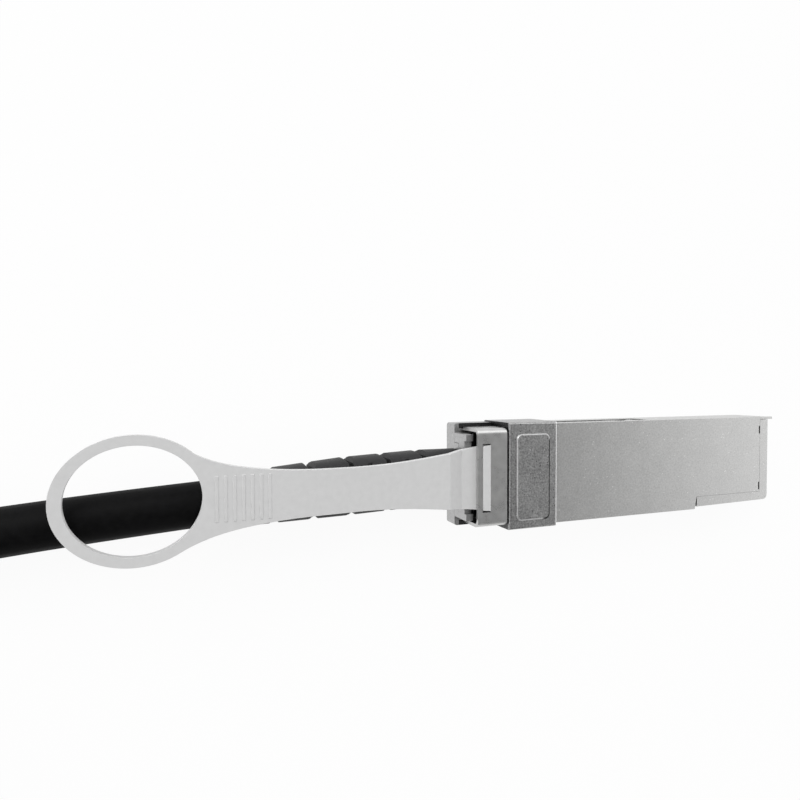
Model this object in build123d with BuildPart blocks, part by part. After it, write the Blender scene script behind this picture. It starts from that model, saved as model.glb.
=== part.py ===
from build123d import *
import math
import os

# A passive copper cable assembly: two identical four-lane plugs on one round cable.
# X runs from the collar's stop face towards the contacts, Y across the wide face, Z up
# from the face that the plug lies on. All sizes are in millimetres.

# Nose, the part of the plug that slides into a cage
nose_length = 53.6
plug_thickness = 8.5
lid_thickness = 1.0
floor_thickness = 1.0
nose_wall = 0.87
edge_round = 0.3

# Rim of the base that frames the lid: across the front, and along one side
rim_depth = 2.15
rim_bar_height = 1.3
land_start = 34.2
land_width = 2.0
land_set_in = 0.48
land_taper = 0.3
land_foot_height = 5.3
land_wall = 1.3
rim_corner_round = 1.0
seam_gap = 0.06
seam_slot_length = 1.6
seam_slot_depth = 0.28
seam_slot_centres = (6.45, -5.45)
lip_reach = 1.3
lip_thickness = 0.5
lip_height = 0.8
hook_width = 7.1
hook_length = 2.15
hook_reach = 1.05
hook_thickness = 0.9

# Collar that stops against the cage, with a low raised panel on its upper face
collar_length = 10.0
collar_width = 19.1
collar_rise = 1.0
collar_round = 0.45
collar_roof = 0.9
panel_length = 6.8
panel_width = 15.5
panel_set_back = 1.75
panel_offset = -0.25
panel_rise = 0.3
panel_corner = 1.0
panel_edge_round = 0.25

# Tail behind the collar: a low flange on the base and a narrower block on the cover
tail_length = 7.75
tail_flange_height = 3.3
tail_flange_width = 18.6
tail_corner_round = 0.5
cover_tail_length = 7.75
cover_tail_width = 15.2
cover_tail_height = 8.0
tab_recess_height = 7.3
tail_end_wall = 1.4
tail_gap_length = 1.2
tail_gap_depth = 2.3
tail_gap_inset = 2.3
cradle_width = 11.6
cradle_length = 2.6
cradle_height = 5.0

# Card with its contacts, and what is soldered to it
card_thickness = 1.0
card_height = 3.85
card_width = 16.42
card_rear_width = 14.2
card_recess = 2.2
card_clamp_gap = 2.2
card_front_length = 20.0
card_clearance = 0.1
card_side_gap = 0.095
card_bevel = 0.25
card_corner = 0.5
ledge_width = 0.8
ledge_stop = 4.0
rib_width = 0.8
rib_back_gap = 3.5
rib_front_gap = 8.9
pad_count = 19
pad_pitch = 0.8
pad_width = 0.54
pad_length = 2.4
pad_thickness = 0.05
pad_set_back = 0.4
chip_length = 3.0
chip_width = 2.0
chip_height = 0.75
chip_bevel = 0.12
chip_set_back = 18.4
capacitor_length = 1.0
capacitor_width = 0.5
capacitor_height = 0.5
capacitor_set_back = 11.4
capacitor_pitch = 2.2
capacitor_count = 6

# Shielded pairs from the cable to the card, four above it and four below
pair_width = 1.7
pair_height = 0.95
pair_bevel = 0.3
pairs_per_row = 4
pair_pitch_cable = 1.9
pair_pitch_card = 3.1
pair_row_gap = 0.35
pair_on_card = 3.0
solder_gap = 0.02
pair_settle = 0.6
throat_width = 11.2
throat_front = 3.0
clamp_start = 4.2
clamp_length = 2.6
clamp_window_width = 11.4
clamp_window_margin = 0.12
clamp_clearance = 0.05

# Cover screws, driven from the resting side
screw_radius = 0.8
screw_head_radius = 1.5
screw_length = 6.2
screw_place = 3.4
screw_spacing = 12.8
screw_clearance = 0.1
thread_clearance = 0.025
drive_radius = 0.6
drive_depth = 0.5

# Latch slider, one folded sheet with an arm on each narrow side
sheet = 0.6
slider_width = 17.3
slider_bend = 1.1
crosspiece_length = 5.75
crosspiece_gap = 0.45
slot_length = 12.0
slot_width = 1.55
slot_bar = 0.9
arm_height = 3.0
arm_low = 3.5
arm_reach = 21.4
arm_clearance = 0.1
arm_play = 0.2
arm_tip_length = 2.6
arm_tip_flat = 0.87
arm_tip_rise = 0.4
arm_corner = 0.6
latch_travel = 3.0
pocket_front_gap = 1.2
pocket_back_gap = 1.0
pocket_margin = 0.5
tunnel_outer_play = 0.15

# Return springs, one beside each arm inside the collar
spring_radius = 0.72
spring_wire = 0.26
spring_turns = 5
spring_chords = 8
spring_length = 6.8
spring_pocket_back = 1.6
spring_pocket_width = 1.85
tongue_play = 0.1
tongue_height = 1.5

# Pull tab with its ring
tab_thickness = 1.2
tab_top = 10.2
tab_foot_gap = 0.15
tab_foot_end = 19.0
tab_ramp_length = 2.8
tab_lug_play = 0.06
tab_lug_rise = 0.2
tab_bend_round = 0.8
ring_centre = 71.0
ring_hole_length = 18.44
ring_hole_width = 15.9
ring_wall = 1.5
ring_tail_wall = 1.8
ring_neck = 5.5
tab_half_widths = ((60.7, 5.75), (54.9, 4.42), (42.0, 3.58), (30.8, 3.8), (21.8, 4.75))
tab_drifts = (-0.35, -0.44, -0.43, -0.24, -0.12)
tab_root_half_width = 5.75
grip_count = 7
grip_first = 52.0
grip_pitch = 1.3
grip_width = 0.45
grip_rise = 0.08
grip_margin = 1.0

# Strain relief: neck in the tail, then a segmented boot that bends a little with the cable
neck_width = 9.0
neck_low = 1.7
neck_high = 6.5
neck_corner = 1.8
neck_flange_rise = 0.45
neck_flange_length = 1.2
neck_length = 6.0
neck_bore_width = 7.8
neck_bore_height = 2.6
neck_bore_corner = 0.4
neck_play = 0.1
boot_gap = 0.1
boot_root_half_width = 4.85
boot_root_low = 1.2
boot_root_high = 7.2
boot_shoulder_length = 3.2
boot_low = 0.15
boot_high = 8.55
boot_end_half_width = 4.15
boot_end_height = 8.3
boot_mid = 38.8
boot_mid_half_width = 4.78
boot_mid_drift = 0.6
boot_bevel = 2.5
notch_count = 5
notch_first = 25.46
notch_pitch = 6.4
notch_slit = 0.7
notch_mouth = 1.7
notch_mouth_depth = 0.75
boot_core = 3.2

# Crimp ferrule round the stripped pairs
ferrule_length = 3.4
ferrule_wall = 0.6

# Cable, its coil and the strap that ties the coil
cable_diameter = 7.2
arc_share = 0.45
coil_centre = (-146.0, -48.5)
coil_mid_radius = 36.0
strap_angle = 135.0
strap_span = 20.0
strap_thickness = 1.0
far_plug_place = (-27.0, -85.0)
near_route = [
    (-56.0, -1.65, 4.3),
    (-76.0, -2.95, 4.3),
    (-96.0, -4.7, 4.9),
    (-113.0, -6.25, 8.0),
    (-128.0, -7.6, 11.0),
    (-143.0, -8.7, 11.8),
]
far_route = [
    (-157.4, -86.4, 4.6),
    (-145.5, -89.9, 4.5),
    (-126.0, -90.3, 4.4),
    (-103.0, -87.95, 4.3),
    (-83.0, -86.65, 4.3),
]

# Values that follow from the sizes above
plug_width = card_width + 2 * (card_side_gap + nose_wall)
half_width = plug_width / 2
parting_height = plug_thickness - lid_thickness
rim_start = nose_length - rim_depth
bay_half_width = card_width / 2 + card_side_gap
card_front = nose_length - card_recess
card_back = clamp_start + clamp_length + card_clamp_gap
card_top = card_height + card_thickness
rear_bay_half_width = card_rear_width / 2 + card_clearance
bay_shoulder = card_front - card_front_length - card_clearance
trough_half_width = rear_bay_half_width - ledge_width
ledge_front = card_front - ledge_stop
land_edge = half_width - land_set_in
land_inner = land_edge - land_width
land_wall_inner = land_edge - land_wall
mouth_top = plug_thickness - rim_bar_height
collar_top = plug_thickness + collar_rise
tail_back = -collar_length - tail_length
cover_back = -collar_length - cover_tail_length
screw_x = -collar_length - screw_place
boot_end, boot_end_drift, cable_height = (abs(value) for value in near_route[0])
boot_lean = math.degrees(
    math.atan2(near_route[0][1] - near_route[1][1], near_route[0][0] - near_route[1][0])
)
pair_height_mid = (neck_low + neck_high) / 2
slider_half = slider_width / 2
arm_inner = slider_half - sheet
channel_floor = arm_inner - arm_clearance
channel_low = arm_low - arm_play
channel_high = arm_low + arm_height + arm_play
crosspiece_front = -collar_length - crosspiece_gap
crosspiece_back = crosspiece_front - crosspiece_length
slot_back = crosspiece_back + slot_bar
pocket_front = arm_reach + pocket_front_gap
pocket_back = arm_reach - arm_tip_length - latch_travel - pocket_back_gap
spring_height = arm_low + arm_height / 2
spring_y = channel_floor - spring_pocket_width / 2
spring_back = -collar_length + spring_pocket_back
tongue_back = spring_back + spring_length + tongue_play
tab_low = tab_top - tab_thickness
foot_top = collar_top - sheet - tab_foot_gap
foot_low = foot_top - tab_thickness
boot_shoulder_start = tab_foot_end + latch_travel
boot_shoulder_end = boot_shoulder_start + boot_shoulder_length
boot_end_low = cable_height - boot_end_height / 2
boot_end_high = cable_height + boot_end_height / 2
far_place = Location((far_plug_place[0], far_plug_place[1], 0))


def box_between(x_span, y_span, z_span, mode=Mode.ADD):
    """Block between two limits along each axis, in the part that is being built."""
    spans = (x_span, y_span, z_span)
    middle = tuple(sum(span) / 2 for span in spans)
    size = tuple(abs(span[1] - span[0]) for span in spans)
    with Locations(middle):
        Box(*size, mode=mode)


def both_sides(y_span):
    """The span on the +Y side and its mirror image."""
    return (y_span, (-y_span[1], -y_span[0]))


# Base shell: an open tub with collar sides, tail flange and cable cradle
with BuildPart() as base_shell:
    box_between((0, nose_length), (-half_width, half_width), (0, parting_height))
    nose_edges = base_shell.edges().filter_by(Axis.X).group_by(Axis.Z)[0]
    fillet(nose_edges, edge_round)
    box_between((-collar_length, 0), (-collar_width / 2, collar_width / 2), (0, parting_height))
    collar_edges = base_shell.edges().filter_by(Axis.X).group_by(Axis.Z)[0]
    fillet(collar_edges.filter_by(lambda edge: edge.center().X < 0), collar_round)
    flange_half = tail_flange_width / 2
    box_between((tail_back, -collar_length), (-flange_half, flange_half), (0, tail_flange_height))
    tail_corners = base_shell.edges().filter_by(Axis.Z).group_by(Axis.X)[0]
    fillet(tail_corners, tail_corner_round)
    cradle_half = cradle_width / 2
    box_between(
        (tail_back, tail_back + cradle_length),
        (-cradle_half, cradle_half),
        (tail_flange_height, cradle_height),
    )
    # Rim at the height of the lid: a bar across the front and a land along one side
    with BuildSketch(Plane.XY.offset(parting_height)):
        with BuildLine():
            Polyline(
                (land_start, -land_inner),
                (rim_start, -land_inner),
                (rim_start, half_width - lip_thickness - seam_gap),
                (nose_length, half_width - lip_thickness - seam_gap),
                (nose_length, -half_width),
                (land_start, -half_width),
                close=True,
            )
        make_face()
    extrude(amount=lid_thickness)
    # The upper wall under that land is set in and narrows towards the front
    with BuildSketch(Plane.XY.offset(land_foot_height)):
        with BuildLine():
            Polyline(
                (land_start - land_set_in, -half_width),
                (land_start, -land_edge),
                (nose_length, -land_edge + land_taper),
                (nose_length, -plug_width),
                (land_start - land_set_in, -plug_width),
                close=True,
            )
        make_face()
    extrude(amount=plug_thickness, mode=Mode.SUBTRACT)
    rim_corner = base_shell.edges().filter_by(Axis.Z).group_by(Axis.X)[-1]
    rim_corner = rim_corner.filter_by(lambda edge: edge.center().Z > land_foot_height).sort_by(Axis.Y)[0]
    fillet(rim_corner, rim_corner_round)
    # Hollow: cable throat, trough under the card, and the card's bay with its open front
    neck_half = neck_width / 2 + neck_play
    box_between(
        (tail_back + cradle_length, -collar_length),
        (-neck_half, neck_half),
        (floor_thickness, parting_height),
        Mode.SUBTRACT,
    )
    box_between(
        (-collar_length, throat_front),
        (-throat_width / 2, throat_width / 2),
        (floor_thickness, parting_height),
        Mode.SUBTRACT,
    )
    box_between(
        (throat_front, ledge_front),
        (-trough_half_width, trough_half_width),
        (floor_thickness, card_height),
        Mode.SUBTRACT,
    )
    box_between(
        (ledge_front, nose_length),
        (-bay_half_width, bay_half_width),
        (floor_thickness, card_height),
        Mode.SUBTRACT,
    )
    box_between(
        (throat_front, bay_shoulder),
        (-rear_bay_half_width, rear_bay_half_width),
        (card_height, parting_height),
        Mode.SUBTRACT,
    )
    box_between(
        (bay_shoulder, nose_length),
        (-bay_half_width, bay_half_width),
        (card_height, land_foot_height),
        Mode.SUBTRACT,
    )
    bay_ceilings = (((bay_shoulder, rim_start), parting_height), ((rim_start, nose_length), mouth_top))
    for x_span, ceiling in bay_ceilings:
        box_between(x_span, (-land_wall_inner, bay_half_width), (land_foot_height, ceiling), Mode.SUBTRACT)
    # Opening for the neck of the strain relief, and the pocket for its flange
    with BuildSketch(Plane.YZ.offset(tail_back)):
        with Locations((0, pair_height_mid)):
            RectangleRounded(neck_width + 2 * neck_play, neck_high - neck_low + 2 * neck_play, neck_corner)
    extrude(amount=cradle_length, mode=Mode.SUBTRACT)
    # Channels for the latch arms, tunnels through the collar, latch pockets and spring pockets
    for side in both_sides((channel_floor, slider_half + tunnel_outer_play)):
        box_between((-collar_length, 0), side, (channel_low, channel_high), Mode.SUBTRACT)
    for side in both_sides((channel_floor, plug_width)):
        box_between((0, pocket_back), side, (channel_low, channel_high), Mode.SUBTRACT)
    for side in both_sides((channel_floor - arm_clearance, plug_width)):
        pocket_span = (channel_low - pocket_margin, channel_high + pocket_margin)
        box_between((pocket_back, pocket_front), side, pocket_span, Mode.SUBTRACT)
    spring_span = (spring_height - spring_radius - spring_wire, spring_height + spring_radius + spring_wire)
    for side in both_sides((channel_floor - spring_pocket_width, channel_floor)):
        pocket_end = tongue_back + sheet + 2 * tongue_play
        box_between((spring_back, pocket_end), side, spring_span, Mode.SUBTRACT)
    # Countersunk clearance holes for the cover screws
    for screw_y in (-screw_spacing / 2, screw_spacing / 2):
        with Locations(Plane(origin=(screw_x, screw_y, 0), z_dir=(0, 0, -1))):
            CounterSinkHole(
                screw_radius + screw_clearance,
                screw_head_radius + screw_clearance,
                tail_flange_height,
            )

# Cover shell: lid, upper half of the collar, and the tail block between the latch arms
with BuildPart() as cover_shell:
    with BuildSketch(Plane.XY.offset(parting_height)):
        with BuildLine():
            Polyline(
                (0, -half_width),
                (land_start - land_set_in - seam_gap, -half_width),
                (land_start - seam_gap, -land_inner + seam_gap),
                (rim_start - seam_gap, -land_inner + seam_gap),
                (rim_start - seam_gap, half_width),
                (0, half_width),
                close=True,
            )
        make_face()
    extrude(amount=lid_thickness)
    box_between((-collar_length, 0), (-collar_width / 2, collar_width / 2), (parting_height, collar_top))
    collar_face = cover_shell.faces().filter_by(Axis.Z).sort_by(Axis.Z)[-1]
    fillet(collar_face.edges(), collar_round)
    box_between(
        (cover_back, -collar_length),
        (-cover_tail_width / 2, cover_tail_width / 2),
        (tail_flange_height, cover_tail_height),
    )
    # Panel standing a little above the collar's upper face
    with BuildSketch(Plane.XY.offset(collar_top)):
        with Locations((-panel_set_back - panel_length / 2, panel_offset)):
            RectangleRounded(panel_length, panel_width, panel_corner)
    extrude(amount=panel_rise)
    panel_face = cover_shell.faces().filter_by(Axis.Z).sort_by(Axis.Z)[-1]
    fillet(panel_face.edges(), panel_edge_round)
    # Lip of the lid's long edge, standing out past the front of the nose
    box_between(
        (rim_start - seam_gap, nose_length + lip_reach),
        (half_width - lip_thickness, half_width),
        (plug_thickness - lip_height, plug_thickness),
    )
    # Slots in the lid's front edge, and the tongue that hooks under the front bar
    for slot_y in seam_slot_centres:
        box_between(
            (rim_start - seam_gap - seam_slot_depth, rim_start),
            (slot_y - seam_slot_length / 2, slot_y + seam_slot_length / 2),
            (parting_height, plug_thickness),
            Mode.SUBTRACT,
        )
    hook_side = (-hook_width / 2, hook_width / 2)
    hook_top = mouth_top - seam_gap
    hook_low = hook_top - hook_thickness
    box_between((rim_start - hook_length, rim_start - seam_gap), hook_side, (hook_low, parting_height))
    box_between((rim_start - hook_length, rim_start + hook_reach), hook_side, (hook_low, hook_top))
    # Ribs that hold the card down on its ledges
    for side in both_sides((trough_half_width - rib_width / 2, trough_half_width + rib_width / 2)):
        rib_span = (card_back + rib_back_gap, card_front - rib_front_gap)
        box_between(rib_span, side, (card_top + clamp_clearance, parting_height))
    # Hollow of the collar and the cable throat, with room for the base's cradle
    box_between(
        (-collar_length, 0),
        (-throat_width / 2, throat_width / 2),
        (parting_height, collar_top - collar_roof),
        Mode.SUBTRACT,
    )
    throat_span = (tail_flange_height, neck_high + neck_flange_rise + neck_play)
    box_between((cover_back, -collar_length), (-neck_half, neck_half), throat_span, Mode.SUBTRACT)
    cradle_play = cradle_half + seam_gap
    box_between(
        (cover_back, tail_back + cradle_length + seam_gap),
        (-cradle_play, cradle_play),
        (tail_flange_height, cradle_height + seam_gap),
        Mode.SUBTRACT,
    )
    # Recess for the foot of the pull tab
    recess_half = slot_length / 2 + 2 * arm_play
    recess_span = (tab_recess_height, cover_tail_height)
    box_between((cover_back, -collar_length), (-recess_half, recess_half), recess_span, Mode.SUBTRACT)
    # Gap behind the slider, in front of the tail block's end wall
    gap_front = cover_back + tail_end_wall
    for side in both_sides((cover_tail_width / 2 - tail_gap_inset, cover_tail_width / 2)):
        gap_span = (gap_front, gap_front + tail_gap_length)
        box_between(gap_span, side, (cover_tail_height - tail_gap_depth, cover_tail_height), Mode.SUBTRACT)
    # Threaded holes for the cover screws
    for screw_y in (-screw_spacing / 2, screw_spacing / 2):
        with Locations(Plane(origin=(screw_x, screw_y, tail_flange_height), z_dir=(0, 0, -1))):
            Hole(screw_radius + thread_clearance, screw_length - tail_flange_height + screw_clearance)

# Paddle card: a bevelled tongue at the front, a narrower board behind
with BuildPart() as paddle_card:
    with BuildSketch(Plane.XY.offset(card_height)):
        with BuildLine():
            Polyline(
                (card_back, -card_rear_width / 2),
                (card_front - card_front_length, -card_rear_width / 2),
                (card_front - card_front_length, -card_width / 2),
                (card_front - card_corner, -card_width / 2),
                (card_front, -card_width / 2 + card_corner),
                (card_front, card_width / 2 - card_corner),
                (card_front - card_corner, card_width / 2),
                (card_front - card_front_length, card_width / 2),
                (card_front - card_front_length, card_rear_width / 2),
                (card_back, card_rear_width / 2),
                close=True,
            )
        make_face()
    extrude(amount=card_thickness)
    chamfer(paddle_card.edges().filter_by(Axis.Y).group_by(Axis.X)[-1], card_bevel)

# Contact pads, one row on each face of the card
pad_x = card_front - pad_set_back - pad_length / 2
with BuildPart() as contact_pads:
    for pad_base in (card_top, card_height - pad_thickness):
        with BuildSketch(Plane.XY.offset(pad_base)):
            with Locations((pad_x, 0)):
                with GridLocations(pad_pitch, pad_pitch, 1, pad_count):
                    Rectangle(pad_length, pad_width)
        extrude(amount=pad_thickness)

# Memory chip that tells the host what the cable is
with BuildPart() as memory_chip:
    with BuildSketch(Plane.XY.offset(card_top)):
        with Locations((card_front - chip_set_back, 0)):
            Rectangle(chip_length, chip_width)
    extrude(amount=chip_height)
    chamfer(memory_chip.faces().sort_by(Axis.Z)[-1].edges(), chip_bevel)

# Row of blocking capacitors
with BuildPart() as capacitors:
    with BuildSketch(Plane.XY.offset(card_top)):
        with Locations((card_front - capacitor_set_back, 0)):
            with GridLocations(capacitor_pitch, capacitor_pitch, 1, capacitor_count):
                Rectangle(capacitor_length, capacitor_width)
    extrude(amount=capacitor_height)

# Shielded pairs: each is a flat strip, straight through the ferrule, that fans out to its place on the card
pair_back = -collar_length - neck_length
fan_start = -collar_length + ferrule_length
fan_end = card_back - pair_settle
pair_front = card_back + pair_on_card
row_offset = (pair_row_gap + pair_height) / 2
upper_row = (pair_height_mid + row_offset, card_top + solder_gap + pair_height / 2)
lower_row = (pair_height_mid - row_offset, card_height - solder_gap - pair_height / 2)


def pair_row(heights):
    """One row of shielded pairs, each lofted from the cable's pitch to the card's pitch."""
    stations = (
        (pair_back, pair_pitch_cable, heights[0]),
        (fan_start, pair_pitch_cable, heights[0]),
        (fan_end, pair_pitch_card, heights[1]),
        (pair_front, pair_pitch_card, heights[1]),
    )
    with BuildPart() as row:
        for index in range(pairs_per_row):
            place = index - (pairs_per_row - 1) / 2
            for x, pitch, height in stations:
                with BuildSketch(Plane.YZ.offset(x)) as section:
                    with Locations((place * pitch, height)):
                        Rectangle(pair_width, pair_height)
                    chamfer(section.vertices(), pair_bevel)
            loft(ruled=True)
    return row


upper_pairs = pair_row(upper_row)
lower_pairs = pair_row(lower_row)

# Wire clamp: a block with a window for each row, held between the floor and the lid
clamp_share = (clamp_start + clamp_length / 2 - fan_start) / (fan_end - fan_start)
with BuildPart() as wire_clamp:
    clamp_half = rear_bay_half_width - clamp_clearance
    clamp_foot_half = trough_half_width - clamp_clearance
    clamp_span = (clamp_start, clamp_start + clamp_length)
    box_between(clamp_span, (-clamp_foot_half, clamp_foot_half), (floor_thickness, card_height))
    box_between(clamp_span, (-clamp_half, clamp_half), (card_height, parting_height - clamp_clearance))
    for row in (upper_row, lower_row):
        window_height = row[0] + (row[1] - row[0]) * clamp_share
        with BuildSketch(Plane.YZ.offset(clamp_start)):
            with Locations((0, window_height)):
                Rectangle(clamp_window_width, pair_height + 2 * clamp_window_margin)
        extrude(amount=clamp_length, mode=Mode.SUBTRACT)

# Crimp ferrule: an oval sleeve in front of the neck, round all the pairs
with BuildPart() as crimp_ferrule:
    with BuildSketch(Plane.YZ.offset(-collar_length)):
        with Locations((0, pair_height_mid)):
            ferrule_width = neck_bore_width + 2 * ferrule_wall
            ferrule_height = neck_bore_height + 2 * ferrule_wall
            RectangleRounded(ferrule_width, ferrule_height, neck_bore_corner + ferrule_wall)
            RectangleRounded(neck_bore_width, neck_bore_height, neck_bore_corner, mode=Mode.SUBTRACT)
    extrude(amount=ferrule_length)

# Cover screws with countersunk heads and a hexagonal drive
with BuildPart() as cover_screws:
    for screw_y in (-screw_spacing / 2, screw_spacing / 2):
        with BuildSketch(Plane(origin=(screw_x, screw_y, 0), x_dir=(1, 0, 0), z_dir=(0, -1, 0))):
            with BuildLine():
                Polyline(
                    (0, screw_clearance),
                    (screw_head_radius, screw_clearance),
                    (screw_radius, screw_clearance + screw_head_radius - screw_radius),
                    (screw_radius, screw_length),
                    (0, screw_length),
                    close=True,
                )
            make_face()
        revolve(axis=Axis((screw_x, screw_y, 0), (0, 0, 1)))
        with BuildSketch(Plane.XY.offset(screw_clearance)):
            with Locations((screw_x, screw_y)):
                RegularPolygon(drive_radius, 6)
        extrude(amount=drive_depth, mode=Mode.SUBTRACT)

# Latch slider: crosspiece folded down on both sides, arms with lifted tips and spring tongues
with BuildPart() as latch_slider:
    fold_half = slider_half - sheet / 2
    fold_top = collar_top - sheet / 2
    with BuildSketch(Plane.YZ.offset(crosspiece_back)):
        with BuildLine():
            FilletPolyline(
                (-fold_half, arm_low),
                (-fold_half, fold_top),
                (fold_half, fold_top),
                (fold_half, arm_low),
                radius=slider_bend - sheet / 2,
            )
        trace(line_width=sheet)
    extrude(amount=crosspiece_length)
    for side in both_sides((arm_inner, slider_half)):
        box_between((crosspiece_front - arm_corner, arm_reach), side, (arm_low, arm_low + arm_height))
    for side in (-1, 1):
        # Tip bent outwards, which lifts the cage's spring finger as the tab is pulled
        with BuildSketch(Plane.XY.offset(arm_low)):
            with BuildLine():
                Polyline(
                    (arm_reach - arm_tip_length, side * slider_half),
                    (arm_reach - arm_tip_flat, side * (slider_half + arm_tip_rise)),
                    (arm_reach, side * (slider_half + arm_tip_rise)),
                    (arm_reach, side * slider_half),
                    close=True,
                )
            make_face()
        extrude(amount=arm_height)
    for side in both_sides((channel_floor - spring_pocket_width + tongue_play, arm_inner)):
        tongue_span = (spring_height - tongue_height / 2, spring_height + tongue_height / 2)
        box_between((tongue_back, tongue_back + sheet), side, tongue_span)
    slot_side = (-slot_length / 2, slot_length / 2)
    box_between((slot_back, slot_back + slot_width), slot_side, (foot_top, collar_top), Mode.SUBTRACT)


def return_spring(side):
    """Coil spring along X beside one arm, its wire laid along short chords of a helix."""
    start = spring_back + spring_wire
    chord_count = spring_turns * spring_chords
    chord_step = (spring_length - 2 * spring_wire) / chord_count
    points = []
    for index in range(chord_count + 1):
        turn = 2 * math.pi * index / spring_chords
        y = side * spring_y + spring_radius * math.cos(turn)
        z = spring_height + spring_radius * math.sin(turn)
        points.append((start + index * chord_step, y, z))
    with BuildPart() as spring:
        with BuildLine() as wire_path:
            Polyline(*points)
        with BuildSketch(Plane(origin=wire_path.line @ 0, z_dir=wire_path.line % 0)):
            Rectangle(spring_wire, spring_wire)
        sweep(transition=Transition.RIGHT)
    return spring


# Return springs: one in each collar pocket, pushing the slider's tongue forwards
spring_left = return_spring(1)
spring_right = return_spring(-1)

# Pull tab: side profile with lug, foot and ramp, cut to the plan of a waisted blade and an oval ring
ring_half_length = ring_hole_length / 2 + ring_tail_wall
ring_half_width = ring_hole_width / 2 + ring_wall
blade_back = ring_centre - ring_neck
blade_back_half = ring_half_width * math.sqrt(1 - (ring_neck / ring_half_length) ** 2)
lug_back = slot_back + tab_lug_play
lug_front = slot_back + slot_width - tab_lug_play
with BuildPart() as pull_tab:
    with BuildSketch(Plane.XZ):
        with BuildLine():
            Polyline(
                (lug_front, foot_low),
                (lug_front, collar_top + tab_lug_rise),
                (lug_back, collar_top + tab_lug_rise),
                (lug_back, foot_top),
                (-tab_foot_end, foot_top),
                (-tab_foot_end - tab_ramp_length, tab_top),
                (-ring_centre - ring_half_length, tab_top),
                (-ring_centre - ring_half_length, tab_low),
                (-tab_foot_end - tab_ramp_length, tab_low),
                (-tab_foot_end, foot_low),
                close=True,
            )
        make_face()
        ramp_ends = vertices().filter_by(
            lambda corner: -tab_foot_end - tab_ramp_length - seam_gap < corner.X < -tab_foot_end + seam_gap
        )
        fillet(ramp_ends, tab_bend_round)
    extrude(amount=ring_half_width, both=True)
    with BuildSketch():
        with BuildLine():
            upper_edge = [(-x, drift + half) for (x, half), drift in zip(tab_half_widths, tab_drifts)]
            lower_edge = [(-x, drift - half) for (x, half), drift in zip(tab_half_widths, tab_drifts)]
            Spline((-blade_back, blade_back_half), *upper_edge, (lug_front, tab_root_half_width))
            Line((lug_front, tab_root_half_width), (lug_front, -tab_root_half_width))
            Spline((-blade_back, -blade_back_half), *lower_edge, (lug_front, -tab_root_half_width))
            Line((-blade_back, blade_back_half), (-blade_back, -blade_back_half))
        make_face()
        with Locations((-ring_centre, 0)):
            Ellipse(ring_half_length, ring_half_width)
            Ellipse(ring_hole_length / 2, ring_hole_width / 2, mode=Mode.SUBTRACT)
    extrude(amount=plug_width, mode=Mode.INTERSECT)
    for index in range(grip_count):
        grip_x = -grip_first - index * grip_pitch
        grip_half = tab_half_widths[1][1] - grip_margin
        grip_side = (tab_drifts[1] - grip_half, tab_drifts[1] + grip_half)
        grip_span = (grip_x - grip_width / 2, grip_x + grip_width / 2)
        box_between(grip_span, grip_side, (tab_top, tab_top + grip_rise))

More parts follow.
